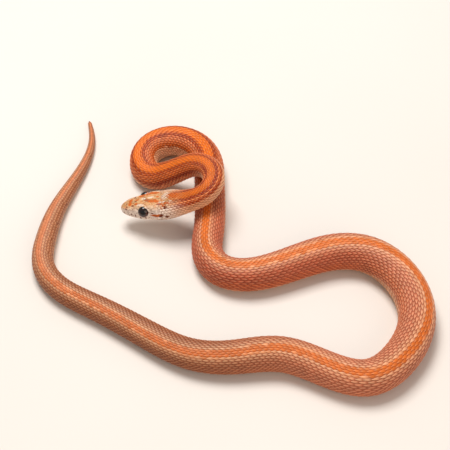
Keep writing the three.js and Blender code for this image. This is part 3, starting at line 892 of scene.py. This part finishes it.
class Nodes:
    """A node tree with short calls for adding nodes and joining their sockets."""

    def __init__(self, tree):
        self.tree = tree

    def join(self, inputs, sources):
        """Joins each named input to another node's output, or sets it to a number or colour."""
        for key, source in sources.items():
            socket = inputs[key]
            if isinstance(source, bpy.types.NodeSocket):
                self.tree.links.new(source, socket)
            elif socket.type == "RGBA":
                socket.default_value = (*source, 1)
            else:
                socket.default_value = source

    def put(self, kind, sources, **values):
        """A new node with its settings and its inputs; gives its outputs."""
        node = self.tree.nodes.new(kind)
        for key, value in values.items():
            setattr(node, key, value)
        self.join(node.inputs, sources)
        return node.outputs

    def value(self, name):
        """An attribute of the mesh."""
        return self.put("ShaderNodeAttribute", {}, attribute_name=name)["Fac"]

    def math(self, operation, first, second):
        return self.put("ShaderNodeMath", {0: first, 1: second}, operation=operation)[0]

    def times(self, first, second):
        return self.math("MULTIPLY", first, second)

    def plus(self, first, second):
        return self.math("ADD", first, second)

    def swing(self, source, width):
        """A source that varies about a half, such as noise, made to vary about 0 and scaled."""
        return self.times(self.math("SUBTRACT", source, 0.5), width)

    def step(self, low, high, source):
        """0 below low and 1 above high, with an S-shaped rise between."""
        sources = {"Value": source, "From Min": low, "From Max": high}
        return self.put("ShaderNodeMapRange", sources, interpolation_type="SMOOTHSTEP")["Result"]

    def mix(self, share, first, second, blend="MIX"):
        """One colour faded into another by a share."""
        sources = {0: share, 6: first, 7: second}
        return self.put("ShaderNodeMix", sources, data_type="RGBA", blend_type=blend)[2]

    def tint(self, colour, level):
        """A colour times a level or another colour."""
        return self.mix(1.0, colour, level, blend="MULTIPLY")

    def cover(self, colour, mask, amount, over):
        """A colour with another laid over it where the mask is, by that amount."""
        return self.mix(self.times(mask, amount), colour, over)

    def ramp(self, source, stops):
        """A colour by place. A stop is a place and a colour, or two colours and the second's share.

        Before the first stop and after the last the colour stays as it is there.
        """
        node = self.tree.nodes.new("ShaderNodeValToRGB")
        elements = node.color_ramp.elements
        elements[0].position, elements[1].position = stops[0][0], stops[-1][0]
        for number, (place, *colours) in enumerate(stops):
            if 0 < number < len(stops) - 1:
                elements.new(place)
            elements[number].color = (*(blend(*colours) if len(colours) == 3 else colours[0]), 1)
        self.join(node.inputs, {0: source})
        return node.outputs["Color"]

    def noise(self, scale, detail=2.0, roughness=0.5):
        """Noise in Object coordinates; scale is in waves per metre."""
        place = self.put("ShaderNodeTexCoord", {})["Object"]
        sources = {"Vector": place, "Scale": scale, "Detail": detail, "Roughness": roughness}
        return self.put("ShaderNodeTexNoise", sources)["Fac"]


def new_group(name, inputs, outputs):
    """An empty node group with number inputs and their defaults, and named outputs."""
    tree = bpy.data.node_groups.new(name, "ShaderNodeTree")
    for label, value in inputs.items():
        socket = tree.interface.new_socket(name=label, in_out="INPUT", socket_type="NodeSocketFloat")
        socket.default_value = value
    for label, kind in outputs.items():
        tree.interface.new_socket(name=label, in_out="OUTPUT", socket_type=kind)
    return Nodes(tree), tree.nodes.new("NodeGroupInput").outputs, tree.nodes.new("NodeGroupOutput").inputs


def shade(colour, share):
    """A colour made darker or lighter."""
    return tuple(min(1.0, part * share) for part in colour)


def blend(first, second, share):
    """A colour on the way from one to another."""
    return tuple(a + (b - a) * share for a, b in zip(first, second))


def chosen_colours(*names):
    """The colours of the settings by name, as plain tuples."""
    return (tuple(getattr(settings(), name)) for name in names)


def flank_ramp(nodes, place, stripe, side, cream, warmth):
    """The stripe with its pale border, the flank, which warms downwards, and the belly."""
    orange = tuple(settings().orange)
    return nodes.ramp(place, [
        (0.06, stripe), (0.08, stripe, cream, 0.4), (0.10, side, cream, 0.5),
        (0.145, side, cream, 0.3), (0.21, side, cream, 0.12), (0.27, side), (0.40, side),
        (0.50, side, orange, warmth), (0.62, side, orange, warmth * 0.7),
        (0.68, side, cream, 0.5), (0.74, cream)])


def body_markings():
    """Stripes by angle round the body, from the back (0) to the belly (1).

    Each length of the body has its own colour ramp, and the ramps fade into one another along it. Noise
    and the shade of each scale make the borders of the stripes uneven.
    """
    orange, rust, mauve, brown, cream = chosen_colours("orange", "rust", "mauve", "brown", "cream")
    nodes, given, result = new_group(
        "markings", {"Along": 0.5, "Around": 0.3, "Cell": 0.5}, {"Colour": "NodeSocketColor"})
    drift = nodes.swing(nodes.noise(150.0, 3.0), 0.035)
    place = nodes.plus(nodes.plus(given["Around"], drift), nodes.swing(given["Cell"], 0.03))
    gold = blend(mauve, orange, 0.55)
    light = blend(mauve, cream, 0.35)
    stripe = shade(orange, 0.84)
    neck = nodes.ramp(place, [
        (0.12, stripe), (0.145, rust), (0.205, rust), (0.235, orange, cream, 0.25),
        (0.28, orange, mauve, 0.4), (0.31, rust), (0.345, rust, orange, 0.2),
        (0.375, orange, cream, 0.5), (0.44, cream, mauve, 0.25), (0.55, cream)])
    stripe = shade(orange, 0.94)
    second = nodes.ramp(place, [
        (0.085, stripe), (0.11, orange, rust, 0.5), (0.14, rust, orange, 0.15),
        (0.18, gold, rust, 0.4), (0.23, gold), (0.33, gold, orange, 0.25),
        (0.37, rust, orange, 0.12), (0.43, rust), (0.47, gold, rust, 0.3),
        (0.52, gold, cream, 0.3), (0.64, gold, cream, 0.15), (0.72, cream)])
    edge, line = blend(rust, orange, 0.12), blend(rust, orange, 0.5)
    # On the coil the pale lower rows are lighter than the cream itself: painted light, lifting the hollow of
    # the coil, which lies in shade.
    coil = nodes.ramp(place, [
        (0.085, orange), (0.105, orange, rust, 0.4), (0.13, edge), (0.175, edge),
        (0.205, gold, rust, 0.25), (0.25, gold, cream, 0.12), (0.36, gold), (0.39, line),
        (0.43, line), (0.47, gold, cream, 0.75), (0.56, shade(blend(cream, gold, 0.2), 1.2)),
        (0.70, shade(cream, 1.1)), (1.0, cream)])
    middle = flank_ramp(nodes, place, shade(blend(orange, light, 0.12), 0.86), mauve, cream, 0.3)
    broad = flank_ramp(nodes, place, shade(blend(orange, light, 0.16), 0.84), blend(mauve, cream, 0.2),
                       cream, 0.12)
    rear = flank_ramp(nodes, place, shade(blend(orange, light, 0.28), 0.80), brown, cream, 0.05)
    tail = nodes.ramp(place, [
        (0.0, shade(blend(orange, light, 0.6), 0.84)), (0.08, shade(blend(orange, light, 0.55), 0.84)),
        (0.12, brown, cream, 0.35), (0.20, brown, cream, 0.2),
        (0.38, brown, cream, 0.14), (0.56, brown, cream, 0.2),
        (0.70, shade(cream, 0.9)), (1.0, shade(cream, 0.95))])
    colour = neck
    for start, end, following in ((32, 42, second), (53, 61, coil), (96, 126, middle), (165, 200, broad),
                                  (235, 285, rear), (318, 340, tail)):
        colour = nodes.mix(nodes.step(start / TOTAL, end / TOTAL, given["Along"]), colour, following)
    level = nodes.plus(0.88, nodes.times(given["Cell"], 0.24))
    nodes.join(result, {"Colour": nodes.tint(colour, level)})
    return nodes.tree


def head_markings():
    """Tan crown and pale cheeks, with orange, dark and cream marks whose edges are broken by noise."""
    orange, rust, tan, pale = chosen_colours("orange", "rust", "tan", "pale")
    nodes, given, result = new_group(
        "head_markings", {"Around": 0.3, "Orange": 0.0, "Dark": 0.0, "Cream": 0.0},
        {"Colour": "NodeSocketColor"})
    ragged = nodes.swing(nodes.noise(1300.0, 3.0, 0.6), 0.8)
    colour = nodes.ramp(given["Around"], [
        (0.0, tan), (0.17, tan, orange, 0.12), (0.28, tan, pale, 0.4), (0.36, pale),
        (0.60, shade(pale, 1.08)), (1.0, shade(pale, 1.1))])
    cloud = nodes.step(0.50, 0.66, nodes.noise(1100.0, 3.0, 0.6))
    crown = nodes.step(0.34, 0.22, given["Around"])
    colour = nodes.cover(colour, nodes.times(cloud, crown), 0.75, shade(blend(tan, orange, 0.65), 0.85))
    for label, low, high, mark in (("Cream", 0.34, 0.7, blend(pale, tan, 0.35)),
                                   ("Orange", 0.30, 0.60, shade(blend(orange, rust, 0.4), 0.95)),
                                   ("Dark", 0.36, 0.6, shade(rust, 0.42))):
        colour = nodes.mix(nodes.step(low, high, nodes.plus(given[label], ragged)), colour, mark)
    fleck = nodes.step(0.53, 0.62, nodes.noise(3000.0, 2.0))
    colour = nodes.cover(colour, fleck, 0.6, shade(tan, 0.3))
    mottle = nodes.plus(0.84, nodes.times(nodes.noise(1500.0, 3.0), 0.32))
    nodes.join(result, {"Colour": nodes.tint(colour, mottle)})
    return nodes.tree


def scale_grain():
    """The fine grain of snake skin as a height, and broad patches where it is a little duller."""
    nodes, given, result = new_group(
        "scale_grain", {"Scale": 9000.0}, {"Height": "NodeSocketFloat", "Dull": "NodeSocketFloat"})
    nodes.join(result, {"Height": nodes.noise(given["Scale"]),
                        "Dull": nodes.times(nodes.noise(420.0, 3.0), 0.16)})
    return nodes.tree


def shared_groups():
    """The groups used by more than one material, built once."""
    groups = {}
    for name, build in (("markings", body_markings), ("head_markings", head_markings),
                        ("scale_grain", scale_grain)):
        groups[name] = bpy.data.node_groups.get(name) or build()
    return groups


def new_material(name):
    """A material, its nodes and its shader."""
    material = bpy.data.materials.new(name)
    material.use_nodes = True
    return material, Nodes(material.node_tree), material.node_tree.nodes["Principled BSDF"]


def pattern_colour(nodes, groups, along, around, cell):
    """The head's markings and the body's, faded into each other behind the head."""
    place = {"Along": along, "Around": around, "Cell": cell}
    marks = {name.capitalize(): nodes.value(name) for name in ("orange", "dark", "cream")}
    body, head = (nodes.put("ShaderNodeGroup", sources, node_tree=groups[name])["Colour"] for name, sources
                  in (("markings", place), ("head_markings", {"Around": around, **marks})))
    return nodes.mix(nodes.step(13.5 / TOTAL, 21 / TOTAL, along), head, body)


def finish_shader(nodes, shader, groups, colour, scale, strength, distance, smoother, specular):
    """Joins the colour, the grain as a bump, and the roughness of the settings less some."""
    grain = nodes.put("ShaderNodeGroup", {"Scale": scale}, node_tree=groups["scale_grain"])
    bump = nodes.put("ShaderNodeBump", {
        "Strength": strength, "Distance": distance, "Height": grain["Height"]})
    nodes.join(shader.inputs, {
        "Base Color": colour, "Roughness": nodes.plus(grain["Dull"], settings().roughness - smoother),
        "Normal": bump["Normal"], "Specular IOR Level": specular})


def skin_material(groups):
    """The skin under the scales is dark and dull, partly its own colour and partly painted shade between the
    scales; the shields of the head are smooth, with painted shade in their grooves and in the line of the
    mouth.
    """
    rust, cream, pale = chosen_colours("rust", "cream", "pale")
    material, nodes, shader = new_material("snake_skin")
    along, around = nodes.value("along"), nodes.value("around")
    colour = pattern_colour(nodes, groups, along, around, nodes.value("cell"))
    # Painted shade, partly the skin's own dark colour: the skin under the scales is darkened, less under the
    # belly plates.
    belly = nodes.step(0.58, 0.66, around)
    between = nodes.mix(belly, shade(rust, 0.55), blend(rust, cream, 0.45))
    # "gap" is painted shade in the grooves between the shields of the head, and "seam" painted shade in the
    # groove of the mouth.
    for label, amount, over in (("coat", 0.72, between), ("gap", 0.75, shade(rust, 0.5)),
                                ("seam", 0.75, shade(rust, 0.35)), ("rim", 0.55, pale)):
        colour = nodes.cover(colour, nodes.value(label), amount, over)
    finish_shader(nodes, shader, groups, colour, 7000.0, 0.25, 0.00004, 0.04, 0.25)
    return material


def scale_material(groups):
    """Each scale has one shade of the pattern, a darker root and sides and a lighter rear edge.

    The darker root and sides are partly the dark skin between scales, partly painted shade where one scale
    lies over the next; this dark net is weaker on the stripe and on the nape. The lighter rear edge is
    partly a pale worn edge, partly a painted highlight.
    """
    material, nodes, shader = new_material("scales")
    along, around, cell = nodes.value("along"), nodes.value("around"), nodes.value("cell")
    rear, side = nodes.value("rear"), nodes.value("side")
    colour = pattern_colour(nodes, groups, along, around, cell)
    stripe = nodes.step(0.12, 0.07, around)
    nape = nodes.step(22 / TOTAL, 14 / TOTAL, along)
    plain = nodes.math("MAXIMUM", nodes.times(stripe, 0.6), nodes.times(nape, 0.5))
    # Painted shade, partly the dark skin between scales: the root, where the scale in front lies over it, and
    # the sides are darkened.
    root = nodes.times(nodes.step(0.62, 0.26, rear), 0.85)
    rim = nodes.times(nodes.step(0.5, 0.95, side), 0.65)
    dark_skin_and_shade = nodes.times(nodes.math("MAXIMUM", root, rim), nodes.math("SUBTRACT", 1.0, plain))
    colour = nodes.mix(dark_skin_and_shade, colour, nodes.tint(colour, GAP_SKIN_AND_SHADE_TINT))
    # Partly a pale worn rear edge, partly a painted highlight on the rear tip of each scale.
    worn_edge_and_highlight = nodes.times(nodes.step(0.6, 0.9, rear), nodes.step(0.75, 0.2, side))
    colour = nodes.cover(colour, worn_edge_and_highlight, 0.32, tuple(settings().cream))
    mottle = nodes.plus(0.9, nodes.times(nodes.noise(2200.0, 3.0), 0.2))
    colour = nodes.tint(colour, mottle)
    finish_shader(nodes, shader, groups, colour, 9000.0, 0.2, 0.00003, 0.08, 0.22)
    return material


def eye_material():
    """A round black pupil in a dark red-brown iris, lightest next to it and black above, under a wet coat."""
    material, nodes, shader = new_material("eye")
    iris = tuple(settings().eye)
    black = (0.003, 0.0025, 0.0025)
    streak = nodes.swing(nodes.noise(2600.0, 3.0), 0.05)
    colour = nodes.ramp(nodes.plus(nodes.value("ring"), streak), [
        (0.50, black), (0.56, shade(iris, 1.2)), (0.66, iris), (0.80, shade(iris, 0.8)),
        (0.92, shade(iris, 0.3)), (1.0, black)])
    top = nodes.step(-0.35, 0.45, nodes.value("upper"))
    nodes.join(shader.inputs, {
        "Base Color": nodes.cover(colour, top, 0.85, black), "Roughness": 0.12, "Specular IOR Level": 0.1,
        "Coat Weight": 0.9, "Coat Roughness": 0.02})
    return material


def floor_material():
    """Pale and dull, with a very faint cloud."""
    material, nodes, shader = new_material("pale_floor")
    colour = nodes.ramp(nodes.noise(6.0, 2.0), [(0.3, (0.70, 0.655, 0.61)), (0.7, (0.74, 0.695, 0.65))])
    nodes.join(shader.inputs, {"Base Color": colour, "Roughness": 0.85})
    return material


# The stage

def build_stage(scene):
    """A pale floor just under the belly, a bright world, two soft lights and the camera."""
    chosen = settings()
    half, low = FLOOR_HALF, FLOOR_LEVEL
    corners = [(-half, -half, low), (half, -half, low), (half, half, low), (-half, half, low)]
    floor = add_mesh("floor", np.array(corners), [np.array([[0, 1, 2, 3]])], {})
    floor.data.materials.append(floor_material())

    world = bpy.data.worlds.new("studio")
    world.use_nodes = True
    background = world.node_tree.nodes["Background"]
    background.inputs["Color"].default_value = (*SOFT_WHITE, 1)
    background.inputs["Strength"].default_value = WORLD_STRENGTH
    scene.world = world
    scene.view_settings.view_transform = "Standard"

    def put(name, data, place, turn):
        """Adds a light or the camera to the scene."""
        thing = bpy.data.objects.new(name, data)
        thing.location, thing.rotation_euler = place, turn
        scene.collection.objects.link(thing)
        return thing

    for name, place, width, power, colour in LIGHTS:
        light = bpy.data.lights.new(name, "AREA")
        light.size, light.energy, light.color = width, power, colour
        put(name, light, place, (-Vector(place)).to_track_quat("-Z", "Y").to_euler())

    lens = bpy.data.cameras.new("camera")
    lens.sensor_width = 36
    lens.lens = lens.sensor_width * chosen.camera_distance / chosen.view_width
    lens.clip_start = 0.01
    elevation = chosen.camera_elevation
    back = Vector((0, -math.cos(elevation), math.sin(elevation))) * chosen.camera_distance
    scene.camera = put("camera", lens, Vector(VIEW_MIDDLE) + back, (math.pi / 2 - elevation, 0, 0))


# Operators

class AddSkin(bpy.types.Operator):
    """Add the skin of the head, body and tail"""
    bl_idname = "snake.add_skin"
    bl_label = "Skin"

    def execute(self, context):
        build_skin(skin_material(shared_groups()))
        return {"FINISHED"}


class AddScales(bpy.types.Operator):
    """Add the back scales and the belly plates"""
    bl_idname = "snake.add_scales"
    bl_label = "Scales and belly plates"

    def execute(self, context):
        material = scale_material(shared_groups())
        build_back_scales(material)
        build_belly_plates(material)
        return {"FINISHED"}


class AddEyes(bpy.types.Operator):
    """Add the two eyes"""
    bl_idname = "snake.add_eyes"
    bl_label = "Eyes"

    def execute(self, context):
        material = eye_material()
        build_eye("glossy_eye_left", -1, material)
        build_eye("glossy_eye_right", 1, material)
        return {"FINISHED"}


class AddStage(bpy.types.Operator):
    """Add the floor, the lights and the camera"""
    bl_idname = "snake.add_stage"
    bl_label = "Floor, lights and camera"

    def execute(self, context):
        build_stage(context.scene)
        return {"FINISHED"}


class SnakePanel(bpy.types.Panel):
    """Lists the settings and the pieces"""
    bl_idname = "VIEW3D_PT_snake"
    bl_label = "Corn snake"
    bl_space_type = "VIEW_3D"
    bl_region_type = "UI"
    bl_category = "Snake"

    def draw(self, context):
        for name in SnakeSettings.__annotations__:
            self.layout.prop(context.scene.snake_settings, name)
        for operator in OPERATORS:
            self.layout.operator(operator.bl_idname)


OPERATORS = (AddSkin, AddScales, AddEyes, AddStage)


def register():
    bpy.utils.register_class(SnakeSettings)
    for kind in (*OPERATORS, SnakePanel):
        bpy.utils.register_class(kind)
    bpy.types.Scene.snake_settings = bpy.props.PointerProperty(type=SnakeSettings)


def unregister():
    del bpy.types.Scene.snake_settings
    for kind in (SnakePanel, *reversed(OPERATORS), SnakeSettings):
        bpy.utils.unregister_class(kind)


def main():
    register()
    bpy.ops.snake.add_skin()
    bpy.ops.snake.add_scales()
    bpy.ops.snake.add_eyes()
    bpy.ops.snake.add_stage()


if __name__ == "__main__":
    main()
